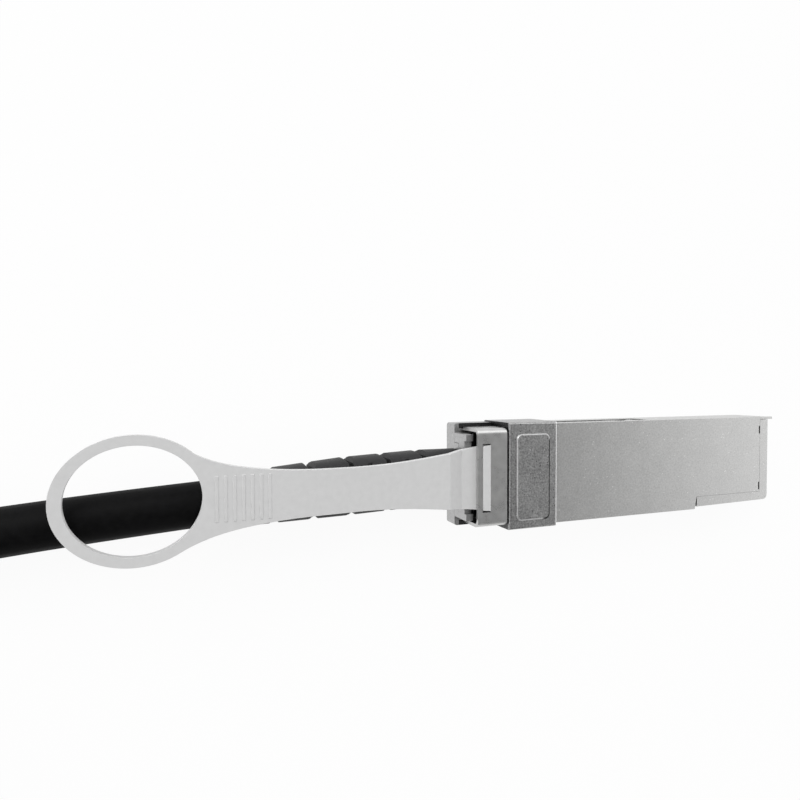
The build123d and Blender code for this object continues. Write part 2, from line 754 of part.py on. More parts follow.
# Strain relief: hollow neck with a flange, and the boot with slits cut in turn from its sides and faces
boot_stations = (
    (tail_back - boot_gap, 0, boot_root_half_width, boot_root_low, boot_root_high, 0),
    (-boot_shoulder_start, 0, boot_root_half_width, boot_root_low, boot_root_high, 0),
    (-boot_shoulder_end, 0, boot_root_half_width, boot_low, boot_high, 0),
    (-boot_mid, -boot_mid_drift, boot_mid_half_width, boot_low, boot_high, boot_lean / 2),
    (-boot_end, -boot_end_drift, boot_end_half_width, boot_end_low, boot_end_high, boot_lean),
)
with BuildPart() as strain_relief:
    for x, y, half, low, high, lean in boot_stations:
        heading = (-math.cos(math.radians(lean)), -math.sin(math.radians(lean)), 0)
        across = (math.sin(math.radians(lean)), -math.cos(math.radians(lean)), 0)
        with BuildSketch(Plane(origin=(x, y, 0), x_dir=across, z_dir=heading)) as section:
            with Locations((0, (low + high) / 2)):
                Rectangle(2 * half, high - low)
            chamfer(section.vertices(), boot_bevel)
    loft(ruled=True)
    for index in range(notch_count):
        slit_x = -notch_first - index * notch_pitch
        bend_share = max(0, -slit_x - boot_shoulder_end) / (boot_end - boot_shoulder_end)
        slit_y = -boot_end_drift * bend_share
        for side in (-1, 1):
            with BuildSketch():
                with BuildLine():
                    surface = boot_root_half_width - (boot_root_half_width - boot_end_half_width) * bend_share
                    Polyline(
                        (slit_x - notch_slit / 2, slit_y + side * boot_core),
                        (slit_x - notch_slit / 2, slit_y + side * (surface - notch_mouth_depth)),
                        (slit_x - notch_mouth / 2, slit_y + side * surface),
                        (slit_x - notch_mouth / 2, slit_y + side * plug_width),
                        (slit_x + notch_mouth / 2, slit_y + side * plug_width),
                        (slit_x + notch_mouth / 2, slit_y + side * surface),
                        (slit_x + notch_slit / 2, slit_y + side * (surface - notch_mouth_depth)),
                        (slit_x + notch_slit / 2, slit_y + side * boot_core),
                        close=True,
                    )
                make_face()
            extrude(amount=plug_width, mode=Mode.SUBTRACT)
    for index in range(notch_count - 1):
        slit_x = -notch_first - (index + 0.5) * notch_pitch
        slit_span = (slit_x - notch_slit / 2, slit_x + notch_slit / 2)
        for height_span in ((cable_height + boot_core, plug_width), (-plug_width, cable_height - boot_core)):
            box_between(slit_span, (-plug_width, plug_width), height_span, Mode.SUBTRACT)
    with BuildSketch(Plane.YZ.offset(-collar_length)):
        with Locations((0, pair_height_mid)):
            RectangleRounded(neck_width, neck_high - neck_low, neck_corner)
    extrude(amount=-tail_length - boot_gap)
    with BuildSketch(Plane.YZ.offset(-collar_length)):
        with Locations((0, pair_height_mid)):
            RectangleRounded(neck_width, neck_high - neck_low + 2 * neck_flange_rise, neck_corner)
    extrude(amount=-neck_flange_length)
    with BuildSketch(Plane.YZ.offset(-collar_length)):
        with Locations((0, pair_height_mid)):
            RectangleRounded(neck_bore_width, neck_bore_height, neck_bore_corner)
    extrude(amount=-neck_length, mode=Mode.SUBTRACT)

# Coil of the cable, one solid of its outer shape, lying on the strap that goes round it
coil_axis = Axis((coil_centre[0], coil_centre[1], 0), (0, 0, 1))
coil_section = 2 * cable_diameter
strap_heading = (math.cos(math.radians(strap_angle)), math.sin(math.radians(strap_angle)), 0)
strap_plane = Plane(
    origin=(coil_centre[0], coil_centre[1], 0),
    x_dir=strap_heading,
    z_dir=(strap_heading[1], -strap_heading[0], 0),
)
with BuildPart() as cable_coil:
    with BuildSketch(strap_plane) as coil_profile:
        with Locations((coil_mid_radius, strap_thickness + coil_section / 2)):
            Rectangle(coil_section, coil_section)
    revolve(axis=coil_axis)

with BuildPart() as coil_strap:
    with BuildSketch(strap_plane):
        add(coil_profile.sketch_local)
        offset(amount=strap_thickness, kind=Kind.INTERSECTION)
        add(coil_profile.sketch_local, mode=Mode.SUBTRACT)
    revolve(axis=coil_axis, revolution_arc=strap_span)


def bend_radii(route):
    """Arc at each inner point: a share of the shorter run over the tangent of half the turn."""
    points = [Vector(*point) for point in route]
    radii = []
    for before, corner, after in zip(points, points[1:], points[2:]):
        run_in = corner - before
        run_out = after - corner
        half_turn = math.radians(run_in.get_angle(run_out)) / 2
        radii.append(arc_share * min(run_in.length, run_out.length) / math.tan(half_turn))
    return radii


def cable_run(name, route):
    """Round tube along straight runs that are joined by tangent arcs."""
    radii = bend_radii(route)
    with BuildPart() as run:
        with BuildLine() as path:
            FilletPolyline(*route, radius=radii)
        with BuildSketch(Plane(origin=path.line @ 0, z_dir=path.line % 0)):
            Circle(cable_diameter / 2)
        sweep()
    length = path.wire().length
    expected = math.pi * cable_diameter**2 / 4 * length
    print(name, "radii", [round(radius) for radius in radii], "length", round(length, 1))
    print(name, "volume", round(run.part.volume, 1), "section times length", round(expected, 1))
    return run


near_cable = cable_run("near_cable", near_route)
far_cable = cable_run("far_cable", far_route)

# Both plugs have the same pieces: the near one where it is modelled, the far one at the cable's other end
plug_pieces = {
    "base_shell": base_shell,
    "cover_shell": cover_shell,
    "paddle_card": paddle_card,
    "contact_pads": contact_pads,
    "memory_chip": memory_chip,
    "capacitors": capacitors,
    "upper_pairs": upper_pairs,
    "lower_pairs": lower_pairs,
    "wire_clamp": wire_clamp,
    "crimp_ferrule": crimp_ferrule,
    "cover_screws": cover_screws,
    "latch_slider": latch_slider,
    "spring_left": spring_left,
    "spring_right": spring_right,
    "pull_tab": pull_tab,
    "strain_relief": strain_relief,
}
cable_pieces = {
    "near_cable": near_cable,
    "cable_coil": cable_coil,
    "coil_strap": coil_strap,
    "far_cable": far_cable,
}

os.makedirs("parts", exist_ok=True)
for name, piece in plug_pieces.items():
    for end, place in (("near", Location()), ("far", far_place)):
        placed = piece.part.moved(place)
        placed.label = f"{end}_{name}"
        export_step(placed, f"parts/{end}_{name}.step")
for name, piece in cable_pieces.items():
    piece.part.label = name
    export_step(piece.part, f"parts/{name}.step")
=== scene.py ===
"""Looks of a copper network cable: jacket, strap, strain reliefs, plugs, latches, springs and studio."""

import math

import bmesh
import bpy
import numpy as np
from mathutils import Matrix


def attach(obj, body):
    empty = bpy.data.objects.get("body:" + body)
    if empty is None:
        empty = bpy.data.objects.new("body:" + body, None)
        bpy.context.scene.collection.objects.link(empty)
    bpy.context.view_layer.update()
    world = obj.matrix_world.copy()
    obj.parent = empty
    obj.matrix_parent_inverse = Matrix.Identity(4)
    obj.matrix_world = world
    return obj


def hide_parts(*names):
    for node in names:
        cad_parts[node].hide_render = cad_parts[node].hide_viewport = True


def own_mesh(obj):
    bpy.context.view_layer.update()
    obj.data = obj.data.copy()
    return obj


bl_info = {
    "name": "Direct attach cable looks",
    "version": (1, 0, 0),
    "blender": (4, 5, 0),
    "location": "View3D > Sidebar > Cable",
    "description": "Dresses the packed cable assembly and sets up its studio",
    "category": "Object",
}

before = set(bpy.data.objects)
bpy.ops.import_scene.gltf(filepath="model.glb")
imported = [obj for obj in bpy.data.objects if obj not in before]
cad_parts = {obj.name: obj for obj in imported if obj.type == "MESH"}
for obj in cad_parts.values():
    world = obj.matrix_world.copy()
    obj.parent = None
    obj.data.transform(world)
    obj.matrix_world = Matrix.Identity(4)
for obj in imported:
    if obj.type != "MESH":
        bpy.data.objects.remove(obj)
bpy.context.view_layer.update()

# Sizes and places are in millimetres. A plug's are those of the near one, and PLACE moves them to each end.
MM = 0.001
ENDS = ("near", "far")
PLACE = {"near": np.zeros(3), "far": np.array((-27.0, -85.0, 0.0))}

# The cable's control points on each side of its coil, and the coil's lanes with the angles where it changes lane.
NEAR_ROUTE = (
    (-56, -1.65, 4.3), (-76, -2.95, 4.3), (-96, -4.7, 4.9), (-113, -6.25, 8.0), (-128, -7.6, 11.0),
    (-143, -8.7, 11.8))
FAR_ROUTE = (
    (-157.4, -86.4, 4.6), (-145.5, -89.9, 4.5), (-126, -90.3, 4.4), (-103, -87.95, 4.3),
    (-83, -86.65, 4.3))
COIL_CENTRE = (-146.0, -48.5)
COIL_LANES = {"outer": 39.5, "inner": 32.3, "upper": 11.8, "lower": 4.6}
COIL_ANGLES = (108.2, 1310.8)
COIL_SHIFTS = {"inward": (335, 395), "down": (635, 695), "outward": (975, 1035)}
COIL_POINTS = 55
COIL_HALF_STEP = math.pi / 16
COIL_RADIUS = (COIL_LANES["outer"] + COIL_LANES["inner"]) / 2
COIL_HEIGHT = (COIL_LANES["upper"] + COIL_LANES["lower"]) / 2

STRAP = {
    "angle": math.radians(145), "half": 7.2, "corner": 3.6, "thick": 0.22, "lift": 0.24, "rise": 0.42,
    "turns": 1.28, "points": 120, "section": 28, "blunt": 5, "reach": 9, "weave_size": 10}
WEAVE = {
    "scale": 22.0, "distortion": 1.5, "fuzz": 60.0, "gap": 0.55, "loop": 1.5, "roughness": (0.8, 0.95),
    "sheen": 0.3, "strength": 0.6, "depth": 2e-4}

# Stations of a strain relief: place along X, drift in Y, half width, low side, high side, lean in degrees.
BOOT_STATIONS = (
    (-16.4, 0, 4.5, 1.7, 6.5, 0), (-17.84, 0, 4.5, 1.7, 6.5, 0), (-17.85, 0, 4.6, 1.5, 6.9, 0),
    (-18.2, 0, 4.85, 1.2, 7.2, 0), (-22.0, 0, 4.85, 1.2, 7.2, 0), (-23.0, 0, 4.85, 0.75, 7.7, 0),
    (-25.2, 0, 4.85, 0.15, 8.55, 0), (-38.8, -0.6, 4.78, 0.15, 8.55, 1.86),
    (-55.5, -1.62, 4.16, 0.15, 8.45, 3.72), (-55.9, -1.65, 4.0, 0.35, 8.25, 3.72),
    (-56.0, -1.65, 3.8, 0.6, 8.0, 3.72))
BOOT = {"middle": 4.3, "rows": 160, "columns": 112}
NOTCH = {"first": -25.46, "mouth": 1.7, "mouth_depth": 0.75, "lip": 0.02, "on_sides": 5, "on_faces": 4}
UNCUT = 99.0

COLLAR_FRONT = 0.05
SEAM = {"front": 51.39, "land": -6.635, "land_start": 33.0, "gap": 0.05, "near": 0.01}
# The panel's outline is painted: a light band is a painted highlight and a dark band a painted shadow; the last two
# values are their levels.
PANEL = {
    "centre": (-5.15, -0.25), "half": (3.4, 7.75), "corner": 1.0, "foot": 9.45, "band": 0.3, "shadow": 0.12,
    "lean": (0.75, 1.0, 0.0, 0.75), "turn": (0.5, 0.72), "highlight_fade": (-1.0, -0.88, 0.65, 0.3),
    "highlight_level": 2.5, "shaded_level": 0.1}

# Boxes of painted shade and painted highlight on the collar, alike on both sides of the middle: low corner, high
# corner, share and level of the tone.
COLLAR_PAINTED_LIGHT = {
    # painted light: the tail's end wall is made lighter, as where more light falls on it
    "tail's end wall": ((-17.9, -1.0, -0.1), (-16.4, 9.7, 9.0), 0.5, 1.5),
    # painted shade: a dark strip for the shadow beside the slider's arm
    "strip beside the arm": ((-16.9, 8.35, 3.2), (-10.05, 9.5, 3.42), 0.9, 0.054),
    # painted shade: the gap before the tail's end wall is made dark, as in shadow
    "gap before the tail wall": ((-16.4, 5.2, 5.6), (-15.1, 7.65, 7.9), 0.9, 0.054),
    # painted shade: the collar's back step is made dark, as in shadow
    "collar's back step": ((-10.15, 8.2, 0.5), (-9.97, 9.7, 9.0), 0.85, 0.054),
    # painted shade: the collar's back edge is darkened, which hides its reflection
    "collar's back edge": ((-10.2, -1.0, 9.3), (-9.9, 9.7, 9.6), 0.55, 0.054),
    # painted highlight: a bright line along the collar's front edge
    "collar's front edge": ((-0.3, -1.0, 9.25), (0.06, 9.7, 9.7), 1.0, 2.6),
}
CAST = {"mottle_share": 0.2, "patch_scale": 420.0, "patch_span": (0.46, 0.56), "pit": 1.6, "depth": 2e-5}
NOISE_SPAN = (0.3, 0.7)

SPRING = {
    "foot": -8.4, "length": 6.8, "side": 7.025, "height": 5.0, "turns": 5, "radius": 0.72, "wire": 0.13,
    "closed": 0.08, "rows": 180, "columns": 12}

# Finishes inside a plug: material, colour, spread, metallic, roughness, grain scale, bump strength and depth.
PAIR_FOIL = ("pair_foil", (0.60, 0.60, 0.60), 0.15, 1.0, (0.22, 0.4), 600.0, 0.4, 5e-5)
INNER_FINISHES = {
    "paddle_card": ("solder_mask", (0.02, 0.11, 0.05), 0.18, 0.0, (0.28, 0.4), 500.0, 0.15, 2e-5),
    "contact_pads": ("gold_plating", (0.83, 0.60, 0.24), 0.06, 1.0, (0.16, 0.26), 900.0, 0.06, 1e-5),
    "memory_chip": ("chip_resin", (0.02, 0.02, 0.021), 0.25, 0.0, (0.45, 0.6), 1600.0, 0.3, 2e-5),
    "capacitors": ("capacitor_ceramic", (0.30, 0.20, 0.12), 0.15, 0.0, (0.35, 0.5), 1500.0, 0.1, 1e-5),
    "upper_pairs": PAIR_FOIL,
    "lower_pairs": PAIR_FOIL,
    "wire_clamp": ("clamp_resin", (0.05, 0.05, 0.05), 0.2, 0.0, (0.5, 0.62), 1100.0, 0.2, 2e-5),
    "crimp_ferrule": ("ferrule_copper", (0.62, 0.34, 0.20), 0.14, 1.0, (0.25, 0.42), 800.0, 0.2, 2e-5),
    "cover_screws": ("zinc_plate", (0.45, 0.45, 0.44), 0.12, 1.0, (0.28, 0.4), 1800.0, 0.1, 1e-5),
}

# The photograph's camera in radians, the lamp, and the sky's levels by height and from side to side.
CAMERA = {"place": (-66.855, 16.833, 105.797), "yaw": 0.360, "pitch": 0.029, "roll": -0.003}
KEY_LAMP = {"place": (-420, 430, 480), "target": (0, 0, 5), "size": 420}
SKY_HEIGHTS = (
    (0.0, 0.93), (0.30, 1.02), (0.60, 1.52), (0.71, 0.72), (0.80, 0.36), (0.90, 0.29), (1.0, 0.28))
SKY_SIDES = ((0.22, 0.3), (0.42, 1.0), (0.62, 1.0), (0.90, 1.25))
SKY_RAISED = (0.14, 0.30)
FLOOR_REACH = 3.0


class CableSettings(bpy.types.PropertyGroup):
    """Sizes and colours of the cable and of the strap round its coil."""

    diameter: bpy.props.FloatProperty(
        name="Diameter", description="Outside diameter of the jacket", default=0.0072, unit="LENGTH")
    length: bpy.props.FloatProperty(
        name="Length", description="Cable length between the strain reliefs", default=0.947, unit="LENGTH")
    jacket: bpy.props.FloatVectorProperty(
        name="Jacket", description="Colour of the jacket", default=(0.0046, 0.0046, 0.0048), size=3,
        subtype="COLOR")
    strap: bpy.props.FloatVectorProperty(
        name="Strap", description="Colour of the hook-and-loop strap", default=(0.022, 0.022, 0.024), size=3,
        subtype="COLOR")
    strap_width: bpy.props.FloatProperty(
        name="Strap width", description="Width of the strap", default=0.0122, unit="LENGTH")


class BootSettings(bpy.types.PropertyGroup):
    """Sizes and colour of the segmented strain reliefs."""

    pitch: bpy.props.FloatProperty(
        name="Notch pitch", description="Distance from notch to notch", default=0.0064, unit="LENGTH")
    slit: bpy.props.FloatProperty(name="Slit", description="Width of a notch", default=0.0007, unit="LENGTH")
    core: bpy.props.FloatProperty(
        name="Core", description="Half width left inside the notches", default=0.0032, unit="LENGTH")
    squareness: bpy.props.FloatProperty(
        name="Squareness", description="Power of the rounded section, higher is squarer", default=2.9, min=2.0)
    rubber: bpy.props.FloatVectorProperty(
        name="Rubber", description="Colour of the moulding", default=(0.026, 0.026, 0.027), size=3,
        subtype="COLOR")


class PlugSettings(bpy.types.PropertyGroup):
    """Edges and colours of the plug's shells, latch and tab."""

    shell_edge: bpy.props.FloatProperty(
        name="Shell edge", description="Round on the casting's edges", default=0.00012, unit="LENGTH")
    latch_edge: bpy.props.FloatProperty(
        name="Latch edge", description="Round on the sheet's edges", default=0.00010, unit="LENGTH")
    tab_edge: bpy.props.FloatProperty(
        name="Tab edge", description="Round on the tab's edges", default=0.00012, unit="LENGTH")
    nose: bpy.props.FloatVectorProperty(
        name="Nose", description="Mean colour of the nose", default=(0.55, 0.55, 0.545), size=3,
        subtype="COLOR")
    collar: bpy.props.FloatVectorProperty(
        name="Collar", description="Mean colour of collar and tail", default=(0.37, 0.37, 0.37), size=3,
        subtype="COLOR")
    latch: bpy.props.FloatVectorProperty(
        name="Latch", description="Colour of the latch sheet", default=(0.58, 0.58, 0.575), size=3,
        subtype="COLOR")
    tab: bpy.props.FloatVectorProperty(
        name="Tab", description="Colour of the pull tab", default=(0.635, 0.635, 0.635), size=3,
        subtype="COLOR")


class StageSettings(bpy.types.PropertyGroup):
    """Camera, floor and light of the studio."""

    lens: bpy.props.FloatProperty(name="Lens", description="Focal length for a 36 mm frame", default=28.182)
    sky: bpy.props.FloatProperty(name="Sky", description="Strength of the surrounding light", default=1.1)
    key: bpy.props.FloatProperty(name="Key", description="Power of the key lamp in watts", default=1.9)
    white: bpy.props.FloatProperty(
        name="Floor white", description="Share of plain white in the floor as the camera sees it", default=0.94,
        min=0.0, max=1.0, subtype="FACTOR")


# Meshes

def linked(name, data):
    """A new object of this name in the scene."""
    piece = bpy.data.objects.new(name, data)
    bpy.context.scene.collection.objects.link(piece)
    return piece


def read_array(items, label, width=1, kind=float):
    """A value of a mesh's points, corners or faces as one flat array, with width numbers each."""
    values = np.empty(len(items) * width, dtype=kind)
    items.foreach_get(label, values)
    return values


def ring_faces(rows, columns):
    """Quads of a tube of rings: each point joins the next one round, and both join the next ring."""
    row = np.arange(rows - 1)[:, None] * columns
    here = np.arange(columns)[None, :]
    beside = (here + 1) % columns
    quads = np.stack((row + here, row + beside, row + columns + beside, row + columns + here), axis=-1)
    return quads.reshape(-1, 4)


def tube_object(name, rings, sharp_degrees):
    """A closed mesh from rings, shape (rows, columns, 3): each end is drawn in to its ring's middle."""
    first = np.repeat(rings[:1].mean(axis=1, keepdims=True), rings.shape[1], axis=1)
    last = np.repeat(rings[-1:].mean(axis=1, keepdims=True), rings.shape[1], axis=1)
    closed = np.concatenate((first, rings, last))
    mesh = bpy.data.meshes.new(name)
    mesh.from_pydata(closed.reshape(-1, 3).tolist(), [], ring_faces(len(closed), rings.shape[1]).tolist())
    shell = bmesh.new()
    shell.from_mesh(mesh)
    bmesh.ops.remove_doubles(shell, verts=shell.verts, dist=1e-7)
    bmesh.ops.recalc_face_normals(shell, faces=shell.faces)
    shell.to_mesh(mesh)
    shell.free()
    mesh.shade_smooth()
    mesh.set_sharp_from_angle(angle=math.radians(sharp_degrees))
    return linked(name, mesh)


def swept_rings(path, across, up, profile):
    """Rings of a profile carried along a path: path point + across * first value + up * second value."""
    return path[:, None, :] + across[:, None, :] * profile[None, :, :1] + up[:, None, :] * profile[None, :, 1:]


def signed_power(wave, power):
    """A wave's size raised to a power, with the wave's sign."""
    return np.sign(wave) * np.abs(wave) ** power


def dressed_copy(node, edge):
    """A CAD node's shape with its points merged, flat facets joined and a small round along sharp edges."""
    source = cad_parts[node].data
    points = read_array(source.vertices, "co", 3)
    corners = read_array(source.loops, "vertex_index", kind=np.int32)
    mesh = bpy.data.meshes.new(node + "_dressed")
    mesh.from_pydata(points.reshape(-1, 3).tolist(), [], corners.reshape(-1, 3).tolist())
    shell = bmesh.new()
    shell.from_mesh(mesh)
    bmesh.ops.remove_doubles(shell, verts=shell.verts, dist=2e-6)
    bmesh.ops.dissolve_limit(
        shell, angle_limit=math.radians(1.0), verts=shell.verts, edges=shell.edges, use_dissolve_boundaries=False)
    shell.to_mesh(mesh)
    shell.free()
    mesh.shade_smooth()
    piece = linked(node + "_dressed", mesh)
    soft = piece.modifiers.new("edge_round", "BEVEL")
    soft.limit_method = "ANGLE"
    soft.angle_limit = math.radians(30)
    soft.width = edge
    soft.segments = 2
    soft.use_clamp_overlap = True
    even = piece.modifiers.new("flat_faces", "WEIGHTED_NORMAL")
    even.mode = "FACE_AREA"
    even.weight = 80
    even.keep_sharp = True
    return piece


# Materials

def shader_group(name, inputs, outputs):
    """An empty node group with float or vector sockets; returns it with its input and output nodes."""
    group = bpy.data.node_groups.new(name, "ShaderNodeTree")
    for label, kind, value in inputs:
        socket = group.interface.new_socket(label, in_out="INPUT", socket_type=kind)
        if value is not None:
            socket.default_value = value
    for label in outputs:
        group.interface.new_socket(label, in_out="OUTPUT", socket_type="NodeSocketFloat")
    return group, group.nodes.new("NodeGroupInput"), group.nodes.new("NodeGroupOutput")


def math_node(tree, operation, first, second):
    """A Math node on two sockets or numbers; returns its result."""
    node = tree.nodes.new("ShaderNodeMath")
    node.operation = operation
    for socket, value in zip(node.inputs, (first, second)):
        if isinstance(value, (int, float)):
            socket.default_value = value
        else:
            tree.links.new(value, socket)
    return node.outputs[0]


def moved(tree, vector, operation, amount):
    """A vector with an amount added or taken away."""
    node = tree.nodes.new("ShaderNodeVectorMath")
    node.operation = operation
    node.inputs[1].default_value = amount
    tree.links.new(vector, node.inputs[0])
    return node.outputs[0]


def split(tree, vector):
    """A vector's X, Y and Z."""
    node = tree.nodes.new("ShaderNodeSeparateXYZ")
    tree.links.new(vector, node.inputs["Vector"])
    return node.outputs


def noise_node(tree, vector, scale, detail):
    """Fractal noise at a vector; scale is a socket or a number."""
    node = tree.nodes.new("ShaderNodeTexNoise")
    tree.links.new(vector, node.inputs["Vector"])
    node.inputs["Detail"].default_value = detail
    if isinstance(scale, (int, float)):
        node.inputs["Scale"].default_value = scale
    else:
        tree.links.new(scale, node.inputs["Scale"])
    return node.outputs["Fac"]


def ranged(tree, value, low, high, to_low, to_high):
    """A value carried evenly from the span low to high onto another span, and held at its ends."""
    node = tree.nodes.new("ShaderNodeMapRange")
    tree.links.new(value, node.inputs["Value"])
    for label, limit in (("From Min", low), ("From Max", high), ("To Min", to_low), ("To Max", to_high)):
        node.inputs[label].default_value = limit
    return node.outputs["Result"]


def stretched(tree, value, low, high):
    """A value spread from the span low to high onto 0 to 1."""
    return ranged(tree, value, low, high, 0.0, 1.0)


def value_between(tree, factor, low, high):
    """A value from low to high as the factor goes from 0 to 1."""
    return ranged(tree, factor, 0.0, 1.0, low, high)


def fine_grain_group():
    """Even fine grain: one fractal noise gives a tone, and a finer one is added to it for the height."""
    group, given, result = shader_group(
        "fine_grain",
        (("Vector", "NodeSocketVector", None), ("Scale", "NodeSocketFloat", 1500.0)),
        ("Tone", "Height"))
    broad = noise_node(group, given.outputs["Vector"], given.outputs["Scale"], 4.0)
    finer = math_node(group, "MULTIPLY", given.outputs["Scale"], 4.0)
    small = noise_node(group, given.outputs["Vector"], finer, 2.0)
    height = math_node(group, "ADD", broad, math_node(group, "MULTIPLY", small, 0.5))
    group.links.new(stretched(group, broad, *NOISE_SPAN), result.inputs["Tone"])
    group.links.new(height, result.inputs["Height"])
    return group


def speck_mask(tree, vector, scale, share):
    """Round specks: places nearer than share of a cell to a scattered point."""
    cells = tree.nodes.new("ShaderNodeTexVoronoi")
    tree.links.new(vector, cells.inputs["Vector"])
    tree.links.new(scale, cells.inputs["Scale"])
    near = math_node(tree, "SUBTRACT", share, cells.outputs["Distance"])
    return stretched(tree, near, 0.0, 0.06)


def cast_grain_group():
    """Die-cast skin: mottle and grain as tone, patches of light specks, dark pits, and grain less pits as height."""
    group, given, result = shader_group(
        "cast_grain",
        (("Vector", "NodeSocketVector", None), ("Mottle Scale", "NodeSocketFloat", 260.0),
         ("Grain Scale", "NodeSocketFloat", 2600.0), ("Speck Scale", "NodeSocketFloat", 1150.0),
         ("Speck Share", "NodeSocketFloat", 0.12)),
        ("Tone", "Specks", "Pits", "Height"))
    vector = given.outputs["Vector"]
    mottle = stretched(group, noise_node(group, vector, given.outputs["Mottle Scale"], 4.0), *NOISE_SPAN)
    grain = stretched(group, noise_node(group, vector, given.outputs["Grain Scale"], 3.0), *NOISE_SPAN)
    broad_part = math_node(group, "MULTIPLY", mottle, CAST["mottle_share"])
    fine_part = math_node(group, "MULTIPLY", grain, 1 - CAST["mottle_share"])
    patches = stretched(group, noise_node(group, vector, CAST["patch_scale"], 2.0), *CAST["patch_span"])
    elsewhere = moved(group, vector, "ADD", (0.37, 0.11, 0.23))
    specks = speck_mask(group, vector, given.outputs["Speck Scale"], given.outputs["Speck Share"])
    pits = speck_mask(group, elsewhere, given.outputs["Speck Scale"], given.outputs["Speck Share"])
    group.links.new(math_node(group, "ADD", broad_part, fine_part), result.inputs["Tone"])
    group.links.new(math_node(group, "MULTIPLY", specks, patches), result.inputs["Specks"])
    group.links.new(pits, result.inputs["Pits"])
    group.links.new(math_node(group, "SUBTRACT", grain, pits), result.inputs["Height"])
    return group


def zone_mask_group():
    """Inside of a box, alike on both sides of the middle: 1 where (X, |Y|, Z) is above Low and below High."""
    vectors = [(label, "NodeSocketVector", None) for label in ("Vector", "Low", "High")]
    group, given, result = shader_group("zone_mask", vectors, ("Mask",))
    parts = split(group, given.outputs["Vector"])
    axes = (parts["X"], math_node(group, "ABSOLUTE", parts["Y"], 0.0), parts["Z"])
    limits = [split(group, given.outputs[label]) for label in ("Low", "High")]
    room = 1.0
    for value, low, high in zip(axes, *limits):
        above = math_node(group, "SUBTRACT", value, low)
        below = math_node(group, "SUBTRACT", high, value)
        room = math_node(group, "MINIMUM", room, math_node(group, "MINIMUM", above, below))
    group.links.new(math_node(group, "GREATER_THAN", room, 0.0), result.inputs["Mask"])
    return group


def panel_edge_group():
    """Band inside the panel's rounded outline: a painted highlight, strongest at -Y, and a painted shadow at +X.

    With q how far a point is past the corners' centres, the outline lies where |max(q, 0)| + min(max(q), 0)
    is the corner's radius.
    """
    group, given, result = shader_group(
        "panel_edge", [("Vector", "NodeSocketVector", None)], ("Painted Highlight", "Shaded"))
    parts = split(group, given.outputs["Vector"])
    shares, past, squares = [], [], []
    for label, centre, half in zip("XY", PANEL["centre"], PANEL["half"]):
        away = math_node(group, "SUBTRACT", parts[label], centre * MM)
        shares.append(math_node(group, "DIVIDE", away, half * MM))
        reach = math_node(group, "ABSOLUTE", away, 0.0)
        past.append(math_node(group, "SUBTRACT", reach, (half - PANEL["corner"]) * MM))
        over = math_node(group, "MAXIMUM", past[-1], 0.0)
        squares.append(math_node(group, "MULTIPLY", over, over))
    outside = math_node(group, "SQRT", math_node(group, "ADD", *squares), 0.0)
    inside = math_node(group, "MINIMUM", math_node(group, "MAXIMUM", *past), 0.0)
    depth = math_node(group, "SUBTRACT", PANEL["corner"] * MM, math_node(group, "ADD", outside, inside))
    raised = math_node(group, "SUBTRACT", parts["Z"], PANEL["foot"] * MM)
    inner = math_node(group, "MINIMUM", raised, math_node(group, "SUBTRACT", PANEL["band"] * MM, depth))
    beyond = math_node(group, "ADD", depth, PANEL["shadow"] * MM)
    edge_band = math_node(group, "GREATER_THAN", math_node(group, "MINIMUM", inner, depth), 0.0)
    wide_band = math_node(group, "GREATER_THAN", math_node(group, "MINIMUM", inner, beyond), 0.0)
    across, along = shares
    # The painted shadow turns on towards +X; the painted highlight fills the rest of the band, fading along Y.
    lean = math_node(group, "SUBTRACT", across, ranged(group, along, *PANEL["lean"]))
    shaded = stretched(group, lean, *PANEL["turn"])
    lit = math_node(group, "SUBTRACT", 1.0, shaded)
    painted_highlight = math_node(group, "MULTIPLY", lit, ranged(group, along, *PANEL["highlight_fade"]))
    group.links.new(math_node(group, "MULTIPLY", edge_band, painted_highlight), result.inputs["Painted Highlight"])
    group.links.new(math_node(group, "MULTIPLY", wide_band, shaded), result.inputs["Shaded"])
    return group


def blank_material(name, metallic):
    """A material with its shader and the object's own coordinates."""
    material = bpy.data.materials.new(name)
    material.use_nodes = True
    tree = material.node_tree
    shader = tree.nodes["Principled BSDF"]
    shader.inputs["Metallic"].default_value = metallic
    place = tree.nodes.new("ShaderNodeTexCoord").outputs["Object"]
    return material, tree, shader, place


def placed_group(tree, name, vector, **values):
    """A shared group in a material, reading the vector; values are set on its inputs by label."""
    node = tree.nodes.new("ShaderNodeGroup")
    node.node_tree = bpy.data.node_groups[name]
    tree.links.new(vector, node.inputs["Vector"])
    for label, value in values.items():
        node.inputs[label.replace("_", " ").title()].default_value = value
    return node.outputs


def colour_mix(tree, factor, first, second):
    """A colour between two colours or sockets by a factor."""
    node = tree.nodes.new("ShaderNodeMix")
    node.data_type = "RGBA"
    tree.links.new(factor, node.inputs["Factor"])
    for label, value in (("A", first), ("B", second)):
        socket = [s for s in node.inputs if s.name == label and s.type == "RGBA"][0]
        if isinstance(value, tuple):
            socket.default_value = (*value, 1.0)
        else:
            tree.links.new(value, socket)
    return [s for s in node.outputs if s.type == "RGBA"][0]


def bumped(tree, shader, height, strength, depth):
    """Feeds a height to the shader's normal through a Bump node; depth is in metres."""
    bump = tree.nodes.new("ShaderNodeBump")
    bump.inputs["Strength"].default_value = strength
    bump.inputs["Distance"].default_value = depth
    tree.links.new(height, bump.inputs["Height"])
    tree.links.new(bump.outputs["Normal"], shader.inputs["Normal"])


def shade(colour, amount):
    """A colour times an amount."""
    return tuple(min(1.0, channel * amount) for channel in colour)


